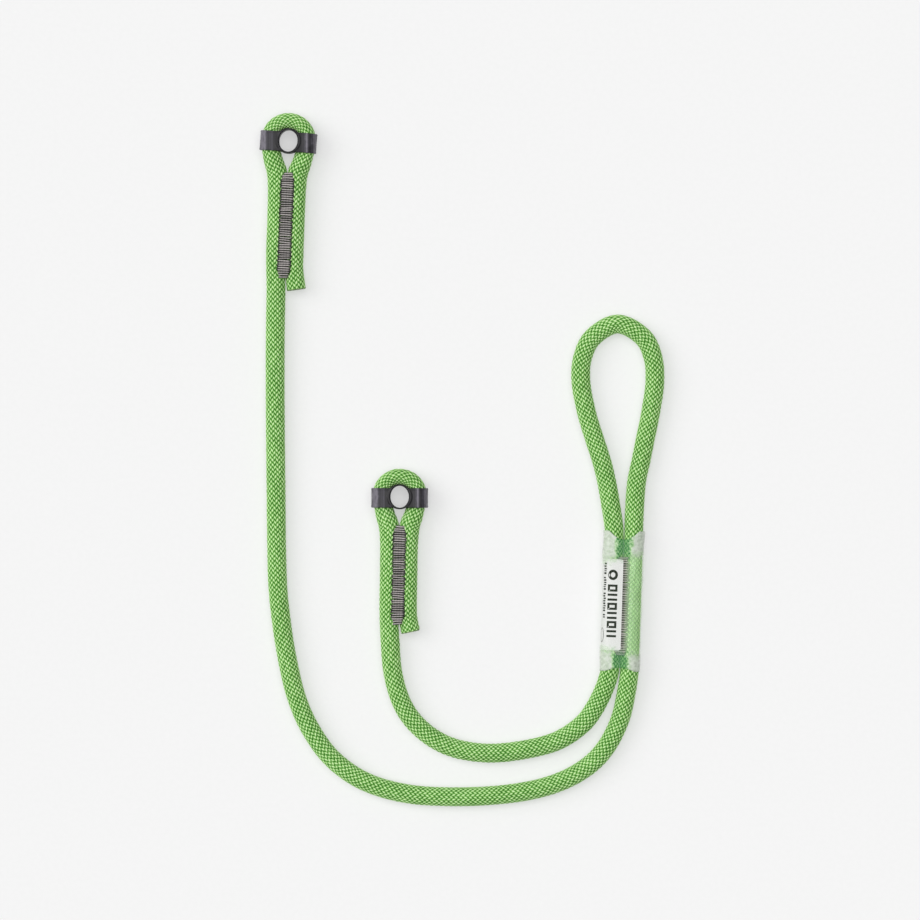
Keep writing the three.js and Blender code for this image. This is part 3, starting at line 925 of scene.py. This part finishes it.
def tube(centres, flat, tall, sides=8):
    """A closed tube of oval section, flat half as wide and tall half as high, with its UVs in mm."""
    side, up = right_and_up(unit(np.gradient(centres, axis=0)))
    angle = 2 * np.pi * np.arange(sides)[:, None] / sides
    ring = side[:, None] * np.sin(angle) * flat + up[:, None] * np.cos(angle) * tall
    points = (centres[:, None] + ring).reshape(-1, 3)
    count = len(centres)
    faces = grid_faces(count, sides, closed=True)
    along = distances(centres) / MM
    along -= along[-1] / 2
    uv = []
    for low, high in zip(along, along[1:]):
        for i in range(sides):
            left, right = i / sides, (i + 1) / sides
            uv += [(left, low), (right, low), (right, high), (left, high)]
    for k, way in ((0, -1), (count - 1, 1)):
        points = np.vstack([points, centres[k]])
        for i in range(sides):
            corners = [k * sides + i, k * sides + (i + 1) % sides, len(points) - 1]
            faces.append(corners[::way])
            uv += [(0, along[k])] * 3
    return points, faces, uv


def thread_bar(place, tilt, bow, reach, surface, way):
    """One stitch across two legs, diving into them at both ends. surface(x) is the legs' height."""
    x = np.linspace(-reach, reach, BAR_POINTS)
    share = x / reach
    y = place + tilt * share + bow * (1 - share**2)
    bridge = surface(x) + BAR_RIDE - BAR_DIVE * np.abs(share) ** BAR_TURN
    return np.stack([x, y, way * bridge], axis=1)


def leg_surface(offset, half_width, half_height):
    """The height of two legs side by side, bridged where they meet, above their middle."""

    def height(x):
        away = np.clip(np.abs(np.abs(x) - offset) / half_width, 0, 0.98)
        top = half_height * np.sqrt(1 - away**2)
        return np.where(np.abs(x) < offset, np.maximum(top, half_height * BRIDGE), top)

    return height


def stitches(name, seam, surface, place_bars, node, body, seed):
    """Bars of thread above and below a seam. place_bars puts (x, y, z) from its head in the frame."""
    count, length, half_width = seam
    generator = np.random.default_rng(seed)
    pitch = length / count
    parts = []
    for way in (1, -1):
        lean = 0.0
        for k in range(count):
            lean = 0.8 * lean + generator.uniform(-0.13, 0.13) * MM
            tilt = lean + generator.uniform(-0.14, 0.14) * MM
            bow = generator.uniform(-0.12, 0.2) * MM
            place = -(k + 0.5) * pitch + generator.uniform(-0.08, 0.08) * MM - bow / 2
            reach = half_width + generator.uniform(-0.25, 0.2) * MM
            reach -= 0.55 * MM * (3 - min(k, count - 1 - k, 3))
            centres = thread_bar(place, tilt, bow, reach, surface, way)
            centres[:, 0] += generator.uniform(-0.15, 0.15) * MM
            flat, tall = (size * generator.uniform(0.9, 1.08) for size in BAR_THICKNESS)
            points, faces, uv = tube(place_bars(centres), flat, tall)
            parts.append((points, faces, np.array(uv) + (len(parts), 0)))
    points, faces, uv = joined(parts)
    piece = mesh_piece(name, points, faces, [THREAD], uv)
    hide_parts(node)
    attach(piece, body)


def sew_eye(name, eye, node, body, seed):
    """The seam below an eye's ring, which slopes down towards its foot as the legs do."""

    def place(points):
        share = -points[:, 1] / eye["seam"]
        x = points[:, 0] + between(SEAM_SHIFT, share)
        y = points[:, 1] - eye["seam_head"]
        z = points[:, 2] + between(SEAM_LEVELS, share)
        return on_eye(eye, np.stack([x, y, z], axis=1))

    surface = leg_surface(SEWN_LEG_OFFSET, SEWN[1], SEWN[2])
    seam = (eye["bars"], eye["seam"], BAR_HALF_WIDTH)
    stitches(name, seam, surface, place, node, body, seed)


def sew_centre():
    """The seam under the sleeve, partly hidden by the label."""

    def place(points):
        placed = [beside_sleeve(x, CENTRE_SEAM_HEAD - y, SLEEVE_LEVEL + z) for x, y, z in points]
        return np.array(placed)

    surface = leg_surface(LEG_OFFSET, SLEEVED[1], SLEEVED[2] - CENTRE_SEAM_DEPTH)
    stitches("centre_seam_threads", CENTRE_SEAM, surface, place, "centre_stitching", "centre", 23)


sew_eye("long_eye_seam_threads", LONG_EYE, "long_eye_stitching", "long_eye", 21)
sew_eye("short_eye_seam_threads", SHORT_EYE, "short_eye_stitching", "short_eye", 22)
sew_centre()

# ---------- retainers


def rounded_outline(half_length, half_height, corner, per_corner=12):
    """Points round a rectangle with round corners, x and z, anticlockwise."""
    outline = []
    for turn_index, (sx, sz) in enumerate(((1, 1), (-1, 1), (-1, -1), (1, -1))):
        for step in range(per_corner + 1):
            angle = math.pi / 2 * (turn_index + step / per_corner)
            x = sx * (half_length - corner) + corner * math.cos(angle)
            z = sz * (half_height - corner) + corner * math.sin(angle)
            outline.append((x, z))
    return np.array(outline)


def loop_mesh(profile):
    """Closes a grid of points, (around, across the wall's own outline), both ways round."""
    rows, columns = profile.shape[:2]
    points = profile.reshape(-1, 3)
    faces = []
    for i in range(rows):
        for j in range(columns):
            k, n = (i + 1) % rows, (j + 1) % columns
            faces.append((i * columns + j, k * columns + j, k * columns + n, i * columns + n))
    return points, faces


def band_wall():
    """Across the band: y, and how far from its middle surface, anticlockwise round the wall."""
    half, (rim_width, rim_height) = BAND_WIDTH / 2, RIM
    face, rim = BAND_WALL / 2, BAND_WALL / 2 + rim_height
    outside = [
        (-half, 0.2 * MM),
        (-half + 0.15 * MM, rim),
        (-half + rim_width, rim),
        (-half + rim_width * 1.5, face),
    ]
    outside += [(-y, out) for y, out in reversed(outside)]
    inside = [(half - 0.15 * MM, -face), (-half + 0.15 * MM, -face)]
    return outside + inside


def make_band():
    """The band round both legs, without the hole for the ring."""
    half_wall = BAND_WALL / 2
    sizes = (BAND_HALF_LENGTH, BAND_HALF_HEIGHT, BAND_CORNER)
    middle = rounded_outline(*[size - half_wall for size in sizes])
    ahead = np.roll(middle, -1, axis=0) - np.roll(middle, 1, axis=0)
    normal = unit(np.stack([ahead[:, 1], -ahead[:, 0]], axis=1))
    rows = []
    for y, out in band_wall():
        shifted = middle + normal * out
        level = np.full(len(shifted), y - BAND_DROP)
        rows.append(np.stack([shifted[:, 0], level, shifted[:, 1]], axis=1))
    return loop_mesh(np.stack(rows, axis=1))


def make_ring():
    """The grommet: a tube through the eye whose rims flare out and are rounded."""
    angle = 2 * np.pi * np.arange(RING_SIDES) / RING_SIDES
    top = RING_HALF_HEIGHT
    upper = [  # from the middle up and in: share of the way out from hole to rim, and height
        (0.66, 0.0), (0.7, top - 2.2 * MM), (0.95, top - 1.2 * MM), (1.0, top - 0.6 * MM),
        (0.8, top - 0.15 * MM), (0.45, top), (0.12, top - 0.2 * MM), (0.0, top - 0.8 * MM),
    ]
    wall = upper + [(share, -z) for share, z in reversed(upper[1:])]
    rows = []
    for share, z in wall:
        across, along = between((HOLE, RING_RIM), share)
        level = np.full(RING_SIDES, z)
        rows.append(np.stack([across * np.cos(angle), along * np.sin(angle), level], axis=1))
    return loop_mesh(np.stack(rows[::-1], axis=1))


def pierced_band():
    """The band with the hole that the ring passes through."""
    band = mesh_piece("band", *make_band(), [RUBBER])
    across, along = 0.4 * HOLE + 0.6 * RING_RIM
    angle = 2 * np.pi * np.arange(RING_SIDES) / RING_SIDES
    outline = np.stack([across * np.cos(angle), along * np.sin(angle)], axis=1)
    points = [(x, y, z) for z in (-0.02, 0.02) for x, y in outline]
    sides = [(i, (i + 1) % RING_SIDES) for i in range(RING_SIDES)]
    faces = [(i, n, RING_SIDES + n, RING_SIDES + i) for i, n in sides]
    faces += [tuple(range(RING_SIDES))[::-1], tuple(range(RING_SIDES, 2 * RING_SIDES))]
    cutter = mesh_piece("cutter", points, faces, [])
    cut = band.modifiers.new("hole", "BOOLEAN")
    cut.operation = "DIFFERENCE"
    cut.object = cutter
    applied(band)
    bpy.data.objects.remove(cutter)
    return band


def moulded(name):
    """One skin round the band and the ring, with small fillets where they meet."""
    band = pierced_band()
    points = np.array([v.co for v in band.data.vertices])
    faces = [list(p.vertices) for p in band.data.polygons]
    bpy.data.objects.remove(band)
    points, faces, _ = joined([(points, faces, []), (*make_ring(), [])])
    piece = mesh_piece(name, points, faces, [RUBBER])
    remesh = piece.modifiers.new("skin", "REMESH")
    remesh.mode = "VOXEL"
    remesh.voxel_size = VOXEL
    soften = piece.modifiers.new("soften", "SMOOTH")
    soften.iterations = 6
    soften.factor = 0.5
    applied(piece)
    piece.data.polygons.foreach_set("use_smooth", np.ones(len(piece.data.polygons), bool))
    return piece


def make_retainer(name, eye, node, body):
    """The moulding in one eye, turned as its band lies."""
    piece = moulded(name)
    piece.rotation_euler = (0, 0, eye["band_tilt"])
    piece.location = on_eye(eye, (0, -RING_DROP, EYE_LEVEL))
    bpy.context.view_layer.update()
    piece.data.transform(piece.matrix_world)
    piece.matrix_world.identity()
    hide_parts(node)
    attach(piece, body)


make_retainer("long_eye_retainer", LONG_EYE, "long_retainer", "long_eye")
make_retainer("short_eye_retainer", SHORT_EYE, "short_retainer", "short_eye")

# ---------- sleeve and label


def film_section(half_width, inset):
    """Across the sleeve: x and z round the film, and x along it for the pattern, in metres."""
    angle = 2 * np.pi * np.arange(SLEEVE_COLUMNS) / SLEEVE_COLUMNS
    round_end = SLEEVE_HALF_HEIGHT - inset
    straight = half_width - SLEEVE_HALF_HEIGHT
    spread = np.tanh(SLEEVE_SQUARENESS * np.cos(angle)) / np.tanh(SLEEVE_SQUARENESS)
    x = round_end * np.cos(angle) + straight * spread
    z = round_end * np.sign(np.sin(angle)) * np.abs(np.sin(angle)) ** SLEEVE_ROUNDNESS
    sag, half_width = VALLEY
    return x, z - np.sign(z) * sag * np.exp(-((x / half_width) ** 2))


def sleeve_surface(inset):
    """Rows of points from the sleeve's head to its foot, and their places across and below."""
    generator = np.random.default_rng(5)
    ripple = generator.normal(0, 1, (6, 3))
    rows, lays = [], []
    for row in range(SLEEVE_ROWS + 1):
        share = row / SLEEVE_ROWS
        x, z = film_section(between(SLEEVE_HALF_WIDTH, share), inset)
        arch = np.clip(1 - (x / NOTCH_HALF_WIDTH) ** 2, 0, 1)
        below = between((NOTCH[0] * arch, SLEEVE_LENGTH - NOTCH[1] * arch), share)
        wave = np.zeros_like(x)
        for k, (a, b, c) in enumerate(ripple):
            wave += RIPPLE * a * np.sin((90 + 70 * k) * below + (k + 1) * 160 * b * x + 6 * c)
        grown = 1 + wave / SLEEVE_HALF_HEIGHT
        places = zip(x * grown, below, SLEEVE_LEVEL + z * grown)
        rows.append([beside_sleeve(*place) for place in places])
        lays.append(np.stack([x / MM, below / MM], axis=1))
    return np.array(rows), np.array(lays)


def make_sleeve():
    """A thin film round both legs, open at both ends."""
    outside, lay = sleeve_surface(0.0)
    inside, _ = sleeve_surface(SLEEVE_WALL)
    points, faces, uv = thick_sheet(outside, inside, lay, closed=True)
    piece = mesh_piece("sleeve_film", points, faces, [sleeve_material()], uv)
    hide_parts("clear_sleeve")
    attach(piece, "centre")


def on_label(across, below, lift):
    """Places on the label: across it from its right edge, below its head, and above its face."""
    flat = LABEL_RIGHT + LEG_OFFSET
    radius = LABEL_RADIUS + lift
    angle = np.clip((across - flat) / LABEL_RADIUS, 0, None)
    x = np.where(across < flat, LABEL_RIGHT - across, -LEG_OFFSET - radius * np.sin(angle))
    z = np.where(across < flat, radius, radius * np.cos(angle))
    sag, half_width = LABEL_DROOP
    z = SLEEVE_LEVEL + z - sag * np.exp(-((x / half_width) ** 2))
    places = zip(x, LABEL_HEAD + np.broadcast_to(below, x.shape), z)
    return np.array([beside_sleeve(*place) for place in places])


def make_label():
    """A strip bent round the left leg, with its right-hand corners rounded."""
    rows, columns = LABEL_GRID
    across = np.linspace(0, 1, columns + 1)
    top, under, lay = [], [], []
    for row in range(rows + 1):
        below = LABEL_LENGTH * row / rows
        into_corner = max(0.0, LABEL_CORNER - below, LABEL_CORNER - (LABEL_LENGTH - below))
        into_corner = min(into_corner, LABEL_CORNER)
        inset = LABEL_CORNER - math.sqrt(LABEL_CORNER**2 - into_corner**2)
        place = inset + (LABEL_WIDTH - inset) * across
        top.append(on_label(place, below, LABEL_THICKNESS))
        under.append(on_label(place, below, 0.0))
        lay.append(np.stack([place / MM, np.full(columns + 1, below / MM)], axis=1))
    points, faces, uv = thick_sheet(np.array(top), np.array(under), np.array(lay))
    piece = mesh_piece("label_strip", points, faces, [paper_material()], uv)
    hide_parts("label")
    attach(piece, "centre")


def printed(across, below, closed=False):
    """A printed shape, from grids of places in mm across the label and below its head."""
    lift = LABEL_THICKNESS + INK_THICKNESS
    points = np.concatenate([on_label(i * MM, j * MM, lift) for i, j in zip(across, below)])
    return points, grid_faces(*across.shape, closed), []


def printed_block(right, left, top, bottom):
    """A plain block."""
    return printed(*np.meshgrid(np.linspace(right, left, 8), np.linspace(top, bottom, 5)))


def printed_frame(right, left, top, bottom, stroke):
    """The outline of a block."""
    grid = []
    for inset in (0, stroke):
        x, y = (right + inset, left - inset), (top + inset, bottom - inset)
        corners = [(x[0], y[0]), (x[1], y[0]), (x[1], y[1]), (x[0], y[1])]
        ahead = corners[1:] + corners[:1]
        sides = [np.linspace(a, b, 6, endpoint=False) for a, b in zip(corners, ahead)]
        grid.append(np.concatenate(sides))
    grid = np.array(grid)
    return printed(grid[..., 0], grid[..., 1], closed=True)


def printed_oval(centre, outer, inner):
    """An oval outline between two half sizes."""
    angle = np.linspace(0, 2 * np.pi, 36, endpoint=False)
    half_sizes = np.array((outer, inner))
    across = centre[0] + half_sizes[:, :1] * np.cos(angle)
    below = centre[1] + half_sizes[:, 1:] * np.sin(angle)
    return printed(across, below, closed=True)


def bold_row():
    """Plain blocks in a row: outlined ones and pairs of bars by turns."""
    marks = []
    for k in range(BOLD_COUNT):
        top = BOLD_HEAD + k * (BOLD_BLOCK + BOLD_GAP)
        bottom = top + BOLD_BLOCK
        if k % 2 == 0:
            marks.append(printed_frame(*BOLD_ROW, top, bottom, BOLD_STROKE))
        else:
            marks.append(printed_block(*BOLD_ROW, top, top + BOLD_STROKE))
            marks.append(printed_block(*BOLD_ROW, bottom - BOLD_STROKE, bottom))
    return marks


def fine_row():
    """Small strokes of uneven length in groups, as small print looks from afar."""
    generator = np.random.default_rng(31)
    right, left = FINE_ROW
    stroke_gap, word_gap = FINE_GAPS
    marks = []
    place = FINE_HEAD
    for word in FINE_WORDS:
        for _ in range(word):
            size = generator.uniform(0.5, 1.0)
            shift = generator.uniform(0, 0.5)
            marks.append(printed_block(right + shift, left + shift, place, place + size))
            place += size + stroke_gap
        place += word_gap
    return marks


def make_print():
    """Generic shapes where the label has its name, its mark and its small print."""
    marks = [printed_oval(*RING_MARK), printed_oval(*OVAL_MARK), *bold_row(), *fine_row()]
    points, faces, _ = joined(marks)
    piece = mesh_piece("label_print", points, faces, [ink_material()])
    solid = piece.modifiers.new("thickness", "SOLIDIFY")
    solid.thickness = INK_THICKNESS
    solid.offset = -1
    applied(piece)
    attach(piece, "centre")


make_sleeve()
make_label()
make_print()

# ---------- floor and light


def make_floor():
    """The plain ground that the lanyard lies on."""
    signs = ((-1, -1), (1, -1), (1, 1), (-1, 1))
    corners = [(FLOOR_HALF_SIZE * x, FLOOR_HALF_SIZE * y, FLOOR_LEVEL) for x, y in signs]
    floor = mesh_piece("floor", corners, [(0, 1, 2, 3)], [floor_material()])


def wide_light(name, come_from, width, strength):
    """Light from a wide patch of the studio's ceiling or wall, as even as daylight."""
    data = bpy.data.lights.new(name, "SUN")
    data.energy = strength
    data.angle = math.radians(width)
    lamp = bpy.data.objects.new(name, data)
    lamp.rotation_euler = Vector(come_from).to_track_quat("Z", "Y").to_euler()
    bpy.context.scene.collection.objects.link(lamp)


def make_lights():
    """A broad light overhead, a soft one from the upper left, and a weak glow all round."""
    world = bpy.data.worlds.new("studio")
    bpy.context.scene.world = world
    world.use_nodes = True
    background = world.node_tree.nodes["Background"]
    background.inputs["Color"].default_value = (1.0, 1.0, 1.0, 1.0)
    background.inputs["Strength"].default_value = 0.22
    wide_light("overhead", (0.02, 0.1, 1.0), 50, 1.68)
    wide_light("key", (-0.95, 0.3, 0.9), 44, 1.55)
    bpy.context.scene.view_settings.view_transform = "Standard"


make_floor()
make_lights()
